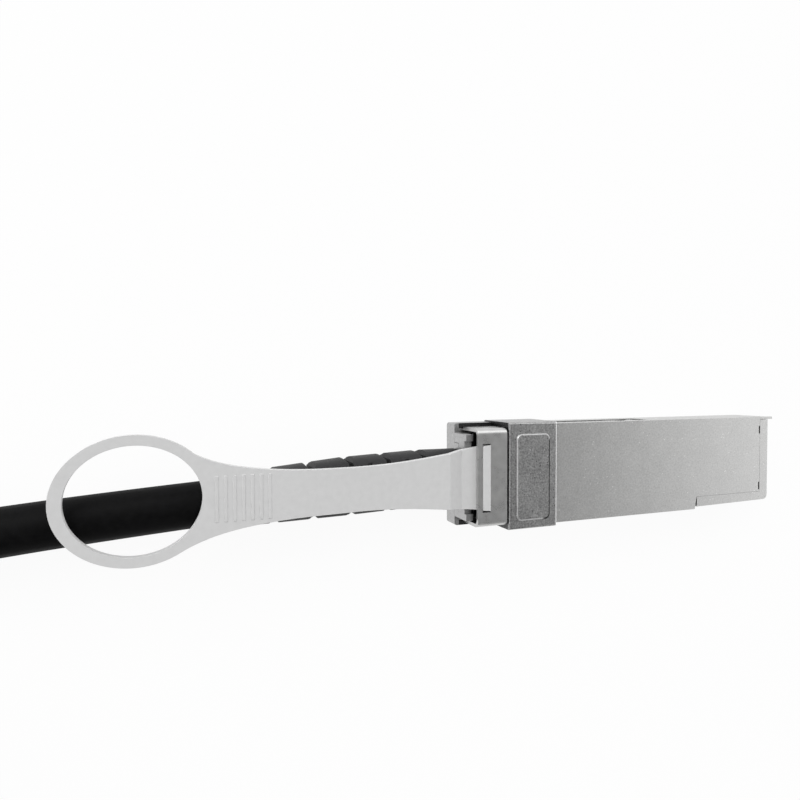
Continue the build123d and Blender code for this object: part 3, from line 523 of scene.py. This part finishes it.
def grained_material(name, colour, spread, metallic, roughness, scale, strength, depth, gloss=0.5):
    """A finish with fine grain: its colour varies by spread, its roughness between two values, and it stands up."""
    material, tree, shader, place = blank_material(name, metallic)
    shader.inputs["Specular IOR Level"].default_value = gloss
    grain = placed_group(tree, "fine_grain", place, scale=scale)
    tone = colour_mix(tree, grain["Tone"], shade(colour, 1 - spread), shade(colour, 1 + spread))
    tree.links.new(tone, shader.inputs["Base Color"])
    tree.links.new(value_between(tree, grain["Tone"], *roughness), shader.inputs["Roughness"])
    bumped(tree, shader, grain["Height"], strength, depth)
    return material


def tone_with_painted_light(tree, tone, colour, place):
    """A tone with painted light laid over it: the collar's boxes of painted shade and painted highlight, and the
    painted highlight and painted shadow along its panel's outline.
    """
    for low, high, share, level in COLLAR_PAINTED_LIGHT.values():
        corners = {"low": tuple(value * MM for value in low), "high": tuple(value * MM for value in high)}
        mask = placed_group(tree, "zone_mask", place, **corners)["Mask"]
        tone = colour_mix(tree, math_node(tree, "MULTIPLY", mask, share), tone, shade(colour, level))
    # Painted highlight and painted shadow along the panel's outline.
    edge = placed_group(tree, "panel_edge", place)
    tone = colour_mix(tree, edge["Painted Highlight"], tone, shade(colour, PANEL["highlight_level"]))
    return colour_mix(tree, edge["Shaded"], tone, shade(colour, PANEL["shaded_level"]))


def cast_material(name, colour, spread, roughness, grain_scale, speck_share, speck_light, strength, origin=None):
    """Die-cast metal: mottled grain, light specks and dark pits, with the collar's painted shade and highlights
    about an origin, if any.
    """
    material, tree, shader, place = blank_material(name, 1.0)
    skin = placed_group(tree, "cast_grain", place, grain_scale=grain_scale, speck_share=speck_share)
    tone = colour_mix(tree, skin["Tone"], shade(colour, 1 - spread), shade(colour, 1 + spread))
    tone = colour_mix(tree, skin["Specks"], tone, shade(colour, speck_light))
    tone = colour_mix(tree, skin["Pits"], tone, shade(colour, 1 - CAST["pit"] * spread))
    # The collar's painted shade and highlights, placed about the plug's origin.
    if origin is not None:
        centred = moved(tree, place, "SUBTRACT", tuple(value * MM for value in origin))
        tone = tone_with_painted_light(tree, tone, colour, centred)
    tree.links.new(tone, shader.inputs["Base Color"])
    tree.links.new(value_between(tree, skin["Tone"], *roughness), shader.inputs["Roughness"])
    bumped(tree, shader, skin["Height"], strength, CAST["depth"])
    return material


def woven_material(name, colour):
    """Hook-and-loop strap: crossed waves along its own UV map darken the gaps and lift the loops."""
    material, tree, shader, _ = blank_material(name, 0.0)
    uv = tree.nodes.new("ShaderNodeUVMap")
    uv.uv_map = "strap"
    grain = placed_group(tree, "fine_grain", uv.outputs["UV"], scale=WEAVE["fuzz"])
    waves = []
    for direction in ("X", "Y"):
        wave = tree.nodes.new("ShaderNodeTexWave")
        wave.bands_direction = direction
        wave.inputs["Scale"].default_value = WEAVE["scale"]
        wave.inputs["Distortion"].default_value = WEAVE["distortion"]
        tree.links.new(uv.outputs["UV"], wave.inputs["Vector"])
        waves.append(wave.outputs["Fac"])
    weave = math_node(tree, "MULTIPLY", math_node(tree, "ADD", *waves), 0.5)
    height = math_node(tree, "ADD", weave, grain["Height"])
    tone = colour_mix(tree, weave, shade(colour, WEAVE["gap"]), shade(colour, WEAVE["loop"]))
    tree.links.new(tone, shader.inputs["Base Color"])
    tree.links.new(value_between(tree, grain["Tone"], *WEAVE["roughness"]), shader.inputs["Roughness"])
    shader.inputs["Sheen Weight"].default_value = WEAVE["sheen"]
    bumped(tree, shader, height, WEAVE["strength"], WEAVE["depth"])
    return material


def paint(piece, *materials):
    """Gives a piece these materials in order."""
    piece.data.materials.clear()
    for material in materials:
        piece.data.materials.append(material)


def settle(piece, body, slot, *nodes):
    """Seats a new piece in the frame: it rides on a body and stands for CAD nodes, which it hides; the finish slot
    is not used.
    """
    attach(piece, body)
    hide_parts(*nodes)
    return piece


# Pieces

def eased(angle, start, end):
    """Smooth step from 0 to 1 while the angle goes from start to end: three squares less two cubes."""
    share = np.clip((angle - start) / (end - start), 0, 1)
    return share * share * (3 - 2 * share)


def coil_points():
    """Control points of the turns: the angle rises evenly while radius and height ease from lane to lane.

    A control point lies outside the turn that it makes, by one over the cosine of half a step.
    """
    angle = np.linspace(*COIL_ANGLES, COIL_POINTS)
    width = COIL_LANES["outer"] - COIL_LANES["inner"]
    drop = COIL_LANES["upper"] - COIL_LANES["lower"]
    inward = eased(angle, *COIL_SHIFTS["inward"]) - eased(angle, *COIL_SHIFTS["outward"])
    radius = (COIL_LANES["outer"] - width * inward) / math.cos(COIL_HALF_STEP)
    height = COIL_LANES["upper"] - drop * eased(angle, *COIL_SHIFTS["down"])
    turn = np.radians(angle)
    x = COIL_CENTRE[0] + radius * np.cos(turn)
    y = COIL_CENTRE[1] + radius * np.sin(turn)
    return np.stack((x, y, height), axis=-1)


def rounded_loop(half, corner, count):
    """A closed rounded square: points and outward normals, spaced evenly along straights and quarter circles."""
    straight = 2 * (half - corner)
    quarter = corner * math.pi / 2
    along = np.arange(count) / count * 4 * (straight + quarter)
    side = np.minimum(along // (straight + quarter), 3)
    rest = along - side * (straight + quarter)
    bend = np.clip(rest - straight, 0, None) / corner
    run = np.minimum(rest, straight) - straight / 2
    x = np.where(rest < straight, half, half - corner + corner * np.cos(bend))
    y = np.where(rest < straight, run, straight / 2 + corner * np.sin(bend))
    turn = side * math.pi / 2
    point = np.stack((x * np.cos(turn) - y * np.sin(turn), x * np.sin(turn) + y * np.cos(turn)), axis=-1)
    normal = np.stack((np.cos(bend + turn), np.sin(bend + turn)), axis=-1)
    return point, normal


class DAC_OT_cable(bpy.types.Operator):
    """Lays the cable from plug to plug through its coil"""

    bl_idname = "dac.cable"
    bl_label = "Cable"

    def execute(self, context):
        settings = context.scene.dac_cable
        points = np.concatenate((np.array(NEAR_ROUTE), coil_points(), np.array(FAR_ROUTE))) * MM
        curve = bpy.data.curves.new("cable", "CURVE")
        curve.dimensions = "3D"
        line = curve.splines.new("NURBS")
        line.points.add(len(points) - 1)
        line.points.foreach_set("co", np.column_stack((points, np.ones(len(points)))).ravel())
        line.order_u = 3
        line.use_endpoint_u = True
        line.resolution_u = 8
        curve.bevel_depth = settings.diameter / 2
        curve.bevel_resolution = 6
        curve.use_fill_caps = True
        cable = linked("cable", curve)
        paint(cable, grained_material(
            "cable_jacket", tuple(settings.jacket), spread=0.25, metallic=0.0, roughness=(0.46, 0.56),
            scale=900.0, strength=0.2, depth=2e-5, gloss=0.055))
        settle(cable, "cable_assembly", "cable_jacket", "near_cable", "cable_coil", "far_cable")
        return {"FINISHED"}


def weave_map(strap):
    """UV map of the strap: distance across it and distance round its section, from the angle times the reach."""
    centre = np.array((*COIL_CENTRE, COIL_HEIGHT))
    x, y, z = (read_array(strap.data.vertices, "co", 3).reshape(-1, 3) / MM - centre).T
    side = (np.arctan2(y, x) - STRAP["angle"]) * COIL_RADIUS
    around = np.arctan2(z, np.hypot(x, y) - COIL_RADIUS) * STRAP["reach"]
    corners = read_array(strap.data.loops, "vertex_index", kind=np.int32)
    uv = strap.data.uv_layers.new(name="strap")
    uv.data.foreach_set("uv", (np.stack((side, around), axis=-1)[corners] / STRAP["weave_size"]).ravel())


class DAC_OT_strap(bpy.types.Operator):
    """Wraps the hook-and-loop strap round the coil"""

    bl_idname = "dac.strap"
    bl_label = "Coil strap"

    def execute(self, context):
        settings = context.scene.dac_cable
        count = int(STRAP["points"] * STRAP["turns"])
        step = np.arange(count)
        loop, outward = (part[step % STRAP["points"]] for part in rounded_loop(
            STRAP["half"], STRAP["corner"], STRAP["points"]))
        lift = STRAP["lift"] + STRAP["rise"] * step / STRAP["points"]
        place = loop + outward * lift[:, None]
        edge = np.linspace(0, 2 * np.pi, STRAP["section"], endpoint=False)
        across = settings.strap_width / MM / 2 * signed_power(np.cos(edge), 0.25)
        thick = STRAP["thick"] * signed_power(np.sin(edge), 0.6)
        blunt = np.minimum(1.0, np.minimum(step + 1.5, count - step + 0.5) / STRAP["blunt"]) ** 0.5
        radial = place[:, None, 0] + outward[:, None, 0] * thick
        height = place[:, None, 1] + outward[:, None, 1] * thick
        turn = STRAP["angle"] + across[None, :] * blunt[:, None] / COIL_RADIUS
        x = COIL_CENTRE[0] + (COIL_RADIUS + radial) * np.cos(turn)
        y = COIL_CENTRE[1] + (COIL_RADIUS + radial) * np.sin(turn)
        z = COIL_HEIGHT + height
        strap = tube_object("coil_tie", np.stack((x, y, z), axis=-1) * MM, sharp_degrees=50)
        weave_map(strap)
        paint(strap, woven_material("strap_fabric", tuple(settings.strap)))
        settle(strap, "cable_assembly", "strap_fabric", "coil_strap")
        return {"FINISHED"}


def notch_limit(x, centres, surface, slit, core):
    """Depth left at each station: the core inside a slit, then a widening mouth, else all of the surface."""
    mouth, depth = NOTCH["mouth"], NOTCH["mouth_depth"]
    away = np.abs(x[:, None] - centres).min(axis=1)
    slope = np.clip((away - slit / 2) / (mouth / 2 - slit / 2), 0, 1)
    flared = surface - depth + depth * slope
    return np.where(away <= slit / 2 + 1e-6, core, np.where(away >= mouth / 2, UNCUT, flared))[:, None]


class DAC_OT_boots(bpy.types.Operator):
    """Moulds the segmented strain relief of each plug"""

    bl_idname = "dac.boots"
    bl_label = "Strain reliefs"

    def execute(self, context):
        settings = context.scene.dac_boot
        stations = np.array(BOOT_STATIONS)[::-1]
        pitch, slit, core = settings.pitch / MM, settings.slit / MM, settings.core / MM
        side_notches = NOTCH["first"] - pitch * np.arange(NOTCH["on_sides"])
        face_slits = NOTCH["first"] - pitch * (np.arange(NOTCH["on_faces"]) + 0.5)
        lip, mouth = slit / 2 + NOTCH["lip"], NOTCH["mouth"]
        edges = np.array((-mouth / 2, -lip, -slit / 2, slit / 2, lip, mouth / 2))
        x = np.unique(np.concatenate((
            np.linspace(stations[0, 0], stations[-1, 0], BOOT["rows"]), stations[:, 0],
            (side_notches[:, None] + edges).ravel(), (face_slits[:, None] + edges).ravel())).round(4))
        drift, half, low, high, lean = (np.interp(x, stations[:, 0], column) for column in stations.T[1:])
        turn = np.linspace(0, 2 * np.pi, BOOT["columns"], endpoint=False)
        power = 2 / settings.squareness
        y = half[:, None] * signed_power(np.cos(turn), power)
        z = ((high - low) / 2)[:, None] * signed_power(np.sin(turn), power)
        z += ((high + low) / 2 - BOOT["middle"])[:, None]
        wide = notch_limit(x, side_notches, half, slit, core)
        tall = notch_limit(x, face_slits, (high - low) / 2, slit, core)
        y = np.clip(y, -wide, wide)
        z = np.clip(z, -tall, tall) + BOOT["middle"]
        swing = np.radians(lean)[:, None]
        grid = np.stack((x[:, None] - y * np.sin(swing), drift[:, None] + y * np.cos(swing), z), axis=-1)
        rubber = grained_material(
            "boot_rubber", tuple(settings.rubber), spread=0.22, metallic=0.0, roughness=(0.5, 0.64),
            scale=1300.0, strength=0.3, depth=3e-5, gloss=0.2)
        for end in ENDS:
            boot = tube_object(end + "_boot", (grid + PLACE[end]) * MM, sharp_degrees=32)
            paint(boot, rubber)
            settle(boot, "cable_assembly", "boot_rubber", end + "_strain_relief")
        return {"FINISHED"}


def close_seam(shell, place):
    """Draws the lid's front edge and its edge beside the land out to the base, so that only their rounds show."""
    co = read_array(shell.data.vertices, "co", 3).reshape(-1, 3) / MM - place
    co[np.abs(co[:, 0] - SEAM["front"]) < SEAM["near"], 0] += SEAM["gap"]
    beside = (np.abs(co[:, 1] - SEAM["land"]) < SEAM["near"]) & (co[:, 0] > SEAM["land_start"])
    co[beside, 1] -= SEAM["gap"]
    shell.data.vertices.foreach_set("co", ((co + place) * MM).ravel())


class DAC_OT_shells(bpy.types.Operator):
    """Finishes the die-cast shells of both plugs"""

    bl_idname = "dac.shells"
    bl_label = "Shells"

    def execute(self, context):
        settings = context.scene.dac_plug
        nose = cast_material(
            "nose_casting", tuple(settings.nose), spread=0.15, roughness=(0.29, 0.37), grain_scale=3200.0,
            speck_share=0.13, speck_light=1.7, strength=0.14)
        for end in ENDS:
            # Each collar's material carries painted shade and painted highlights about that plug's place.
            collar = cast_material(
                end + "_collar_casting", tuple(settings.collar), spread=0.40, roughness=(0.32, 0.42),
                grain_scale=3400.0, speck_share=0.17, speck_light=1.9, strength=0.5, origin=PLACE[end])
            for part in ("base_shell", "cover_shell"):
                shell = dressed_copy(f"{end}_{part}", settings.shell_edge)
                paint(shell, nose, collar)
                if part == "cover_shell":
                    close_seam(shell, PLACE[end])
                middle = read_array(shell.data.polygons, "center", 3)
                behind = middle[0::3] < (PLACE[end][0] + COLLAR_FRONT) * MM
                shell.data.polygons.foreach_set("material_index", behind.astype(np.int32))
                settle(shell, "cable_assembly", "die_cast_shell", f"{end}_{part}")
        return {"FINISHED"}


class DAC_OT_latches(bpy.types.Operator):
    """Finishes the latch sliders and pull tabs, which slide together"""

    bl_idname = "dac.latches"
    bl_label = "Latches and tabs"

    def execute(self, context):
        settings = context.scene.dac_plug
        steel = grained_material(
            "latch_sheet", tuple(settings.latch), spread=0.06, metallic=1.0, roughness=(0.26, 0.34),
            scale=700.0, strength=0.08, depth=1e-5)
        plastic = grained_material(
            "tab_moulding", tuple(settings.tab), spread=0.025, metallic=0.0, roughness=(0.55, 0.65),
            scale=1100.0, strength=0.12, depth=2e-5, gloss=0.25)
        for end in ENDS:
            slider = dressed_copy(end + "_latch_slider", settings.latch_edge)
            paint(slider, steel)
            settle(slider, end + "_latch", "latch_steel", end + "_latch_slider")
            tab = dressed_copy(end + "_pull_tab", settings.tab_edge)
            paint(tab, plastic)
            settle(tab, end + "_latch", "tab_plastic", end + "_pull_tab")
        return {"FINISHED"}


def spring_rings():
    """Rings of a round wire along a helix whose first and last turns are closed up: X stands still there."""
    wire, radius = SPRING["wire"], SPRING["radius"]
    share = np.linspace(0, 1, SPRING["rows"])
    angle = 2 * np.pi * SPRING["turns"] * share
    opened = np.clip((share - SPRING["closed"]) / (1 - 2 * SPRING["closed"]), 0, 1)
    run = wire + (SPRING["length"] - 2 * wire) * opened
    path = np.stack((SPRING["foot"] + run, radius * np.cos(angle), radius * np.sin(angle)), axis=-1)
    along = np.gradient(path, axis=0)
    along /= np.linalg.norm(along, axis=1, keepdims=True)
    out = np.stack((np.zeros_like(angle), np.cos(angle), np.sin(angle)), axis=-1)
    turn = np.linspace(0, 2 * np.pi, SPRING["columns"], endpoint=False)
    section = wire * np.stack((np.cos(turn), np.sin(turn)), axis=-1)
    return swept_rings(path, out, np.cross(along, out), section)


class DAC_OT_springs(bpy.types.Operator):
    """Winds the return springs; on the plug they shorten as a latch is pulled"""

    bl_idname = "dac.springs"
    bl_label = "Return springs"

    def execute(self, context):
        rings = spring_rings()
        steel = grained_material(
            "spring_wire", (0.5, 0.5, 0.49), spread=0.12, metallic=1.0, roughness=(0.25, 0.38), scale=2500.0,
            strength=0.1, depth=1e-5)
        for end in ENDS:
            for hand, y in (("left", SPRING["side"]), ("right", -SPRING["side"])):
                seat = np.array((0, y, SPRING["height"])) + PLACE[end]
                spring = tube_object(f"{end}_spring_{hand}_wire", (rings + seat) * MM, sharp_degrees=40)
                paint(spring, steel)
                settle(spring, "cable_assembly", "spring_steel", f"{end}_spring_{hand}")
                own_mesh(spring)
        return {"FINISHED"}


class DAC_OT_inner_pieces(bpy.types.Operator):
    """Gives the pieces inside the plugs their finishes"""

    bl_idname = "dac.inner_pieces"
    bl_label = "Inner pieces"

    def execute(self, context):
        made = {}
        for part, values in INNER_FINISHES.items():
            finish = values[0]
            if finish not in made:
                made[finish] = grained_material(*values)
            for end in ENDS:
                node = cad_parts[f"{end}_{part}"]
                if not node.material_slots:
                    raise RuntimeError(f"{node.name} has no material slot")
                for slot in node.material_slots:
                    slot.material = made[finish]
        return {"FINISHED"}


# Studio

def floor_material(share):
    """Pale floor: a matt surface that takes the shadow, mixed with plain white for what camera and gloss see."""
    material = bpy.data.materials.new("studio_floor")
    material.use_nodes = True
    tree = material.node_tree
    shader = tree.nodes["Principled BSDF"]
    shader.inputs["Base Color"].default_value = (0.9, 0.9, 0.9, 1.0)
    shader.inputs["Roughness"].default_value = 0.9
    shader.inputs["Specular IOR Level"].default_value = 0.0
    path = tree.nodes.new("ShaderNodeLightPath")
    seen = math_node(tree, "ADD", path.outputs["Is Camera Ray"], path.outputs["Is Glossy Ray"])
    seen = math_node(tree, "ADD", seen, path.outputs["Is Transmission Ray"])
    white = tree.nodes.new("ShaderNodeEmission")
    mix = tree.nodes.new("ShaderNodeMixShader")
    tree.links.new(math_node(tree, "MULTIPLY", math_node(tree, "MINIMUM", seen, 1.0), share), mix.inputs[0])
    tree.links.new(shader.outputs["BSDF"], mix.inputs[1])
    tree.links.new(white.outputs["Emission"], mix.inputs[2])
    tree.links.new(mix.outputs["Shader"], tree.nodes["Material Output"].inputs["Surface"])
    return material


def level_ramp(tree, value, stops):
    """A grey level that goes evenly from stop to stop; each stop is a value from 0 to 1 and its level."""
    ramp = tree.nodes.new("ShaderNodeValToRGB")
    tree.links.new(value, ramp.inputs["Fac"])
    while len(ramp.color_ramp.elements) < len(stops):
        ramp.color_ramp.elements.new(0.5)
    for element, (place, level) in zip(ramp.color_ramp.elements, stops):
        element.position = place
        element.color = (level, level, level, 1.0)
    return ramp.outputs["Color"]


def studio_sky(strength):
    """Surrounding light: bright near the horizon and dim overhead, and higher up brighter at +Y, dimmer at -Y."""
    world = bpy.data.worlds.new("studio")
    world.use_nodes = True
    tree = world.node_tree
    parts = split(tree, tree.nodes.new("ShaderNodeTexCoord").outputs["Generated"])
    height = level_ramp(tree, parts["Z"], SKY_HEIGHTS)
    side = level_ramp(tree, stretched(tree, parts["Y"], -1.0, 1.0), SKY_SIDES)
    raised = stretched(tree, parts["Z"], *SKY_RAISED)
    uneven = math_node(tree, "MULTIPLY", raised, math_node(tree, "SUBTRACT", side, 1.0))
    level = math_node(tree, "MULTIPLY", height, math_node(tree, "ADD", uneven, 1.0))
    tree.links.new(level, tree.nodes["Background"].inputs["Color"])
    tree.nodes["Background"].inputs["Strength"].default_value = strength
    return world


def stand(holder, right, up, back, place):
    """Puts a lamp or camera at a place in millimetres, with its own axes along three directions."""
    turn = np.eye(4)
    turn[:3] = np.column_stack((right, up, back, np.array(place) * MM))
    holder.matrix_world = Matrix(turn.tolist())


def soft_lamp(name, power, place, target, size):
    """A square area lamp at a place, turned to a target; lengths are in millimetres."""
    lamp = bpy.data.lights.new(name, "AREA")
    lamp.size = size * MM
    lamp.energy = power
    aim = np.array(target, float) - np.array(place, float)
    back = -aim / np.linalg.norm(aim)
    right = np.cross((0, 0, 1), back)
    right /= np.linalg.norm(right)
    stand(linked(name, lamp), right, np.cross(back, right), back, place)


def photo_camera(lens):
    """The photograph's camera: it looks down with +Y upwards, turned by its yaw, then its pitch, then its roll."""
    camera = bpy.data.cameras.new("photo_view")
    camera.lens = lens
    camera.sensor_width = 36.0
    camera.clip_start = 0.005
    camera.clip_end = 20.0
    yaw, pitch, roll = CAMERA["yaw"], CAMERA["pitch"], CAMERA["roll"]
    right = np.array((math.cos(yaw), 0, math.sin(yaw)))
    back = np.array((-math.sin(yaw), 0, math.cos(yaw)))
    up = np.array((0.0, 1.0, 0.0))
    level_up = math.cos(pitch) * up - math.sin(pitch) * back
    level_back = math.cos(pitch) * back + math.sin(pitch) * up
    turned_right = math.cos(roll) * right + math.sin(roll) * level_up
    turned_up = -math.sin(roll) * right + math.cos(roll) * level_up
    holder = linked("photo_view", camera)
    stand(holder, turned_right, turned_up, level_back, CAMERA["place"])
    return holder


class DAC_OT_stage(bpy.types.Operator):
    """Sets up the floor, the light and the camera"""

    bl_idname = "dac.stage"
    bl_label = "Studio"

    def execute(self, context):
        settings = context.scene.dac_stage
        scene = context.scene
        scene.view_settings.view_transform = "Standard"
        reach = FLOOR_REACH
        mesh = bpy.data.meshes.new("floor")
        mesh.from_pydata(
            [(-reach, -reach, 0), (reach, -reach, 0), (reach, reach, 0), (-reach, reach, 0)], [], [(0, 1, 2, 3)])
        floor = linked("floor", mesh)
        paint(floor, floor_material(settings.white))
        scene.world = studio_sky(settings.sky)
        soft_lamp("key", settings.key, **KEY_LAMP)
        scene.camera = photo_camera(settings.lens)
        return {"FINISHED"}


class DAC_PT_looks(bpy.types.Panel):
    """Lists the pieces and their settings"""

    bl_idname = "DAC_PT_looks"
    bl_label = "Cable looks"
    bl_space_type = "VIEW_3D"
    bl_region_type = "UI"
    bl_category = "Cable"

    def draw(self, context):
        for operator in PIECES:
            self.layout.operator(operator.bl_idname)
        for name, group in SETTINGS.items():
            box = self.layout.box()
            box.label(text=group.__doc__)
            for key in group.__annotations__:
                box.prop(getattr(context.scene, name), key)


SETTINGS = {
    "dac_cable": CableSettings, "dac_boot": BootSettings, "dac_plug": PlugSettings, "dac_stage": StageSettings}
PIECES = (
    DAC_OT_stage, DAC_OT_inner_pieces, DAC_OT_shells, DAC_OT_latches, DAC_OT_springs, DAC_OT_boots,
    DAC_OT_strap, DAC_OT_cable)


def register():
    """Registers the settings, the operators and the panel."""
    for group in SETTINGS.values():
        bpy.utils.register_class(group)
    for name, group in SETTINGS.items():
        setattr(bpy.types.Scene, name, bpy.props.PointerProperty(type=group))
    for operator in PIECES:
        bpy.utils.register_class(operator)
    bpy.utils.register_class(DAC_PT_looks)


def unregister():
    """Takes back what register does, in the other order."""
    bpy.utils.unregister_class(DAC_PT_looks)
    for operator in reversed(PIECES):
        bpy.utils.unregister_class(operator)
    for name, group in SETTINGS.items():
        delattr(bpy.types.Scene, name)
        bpy.utils.unregister_class(group)


def main():
    """Registers the classes, makes the shared effects and calls each piece in order."""
    register()
    fine_grain_group()
    cast_grain_group()
    zone_mask_group()
    panel_edge_group()
    bpy.ops.dac.stage()
    bpy.ops.dac.inner_pieces()
    bpy.ops.dac.shells()
    bpy.ops.dac.latches()
    bpy.ops.dac.springs()
    bpy.ops.dac.boots()
    bpy.ops.dac.strap()
    bpy.ops.dac.cable()


if __name__ == "__main__":
    main()
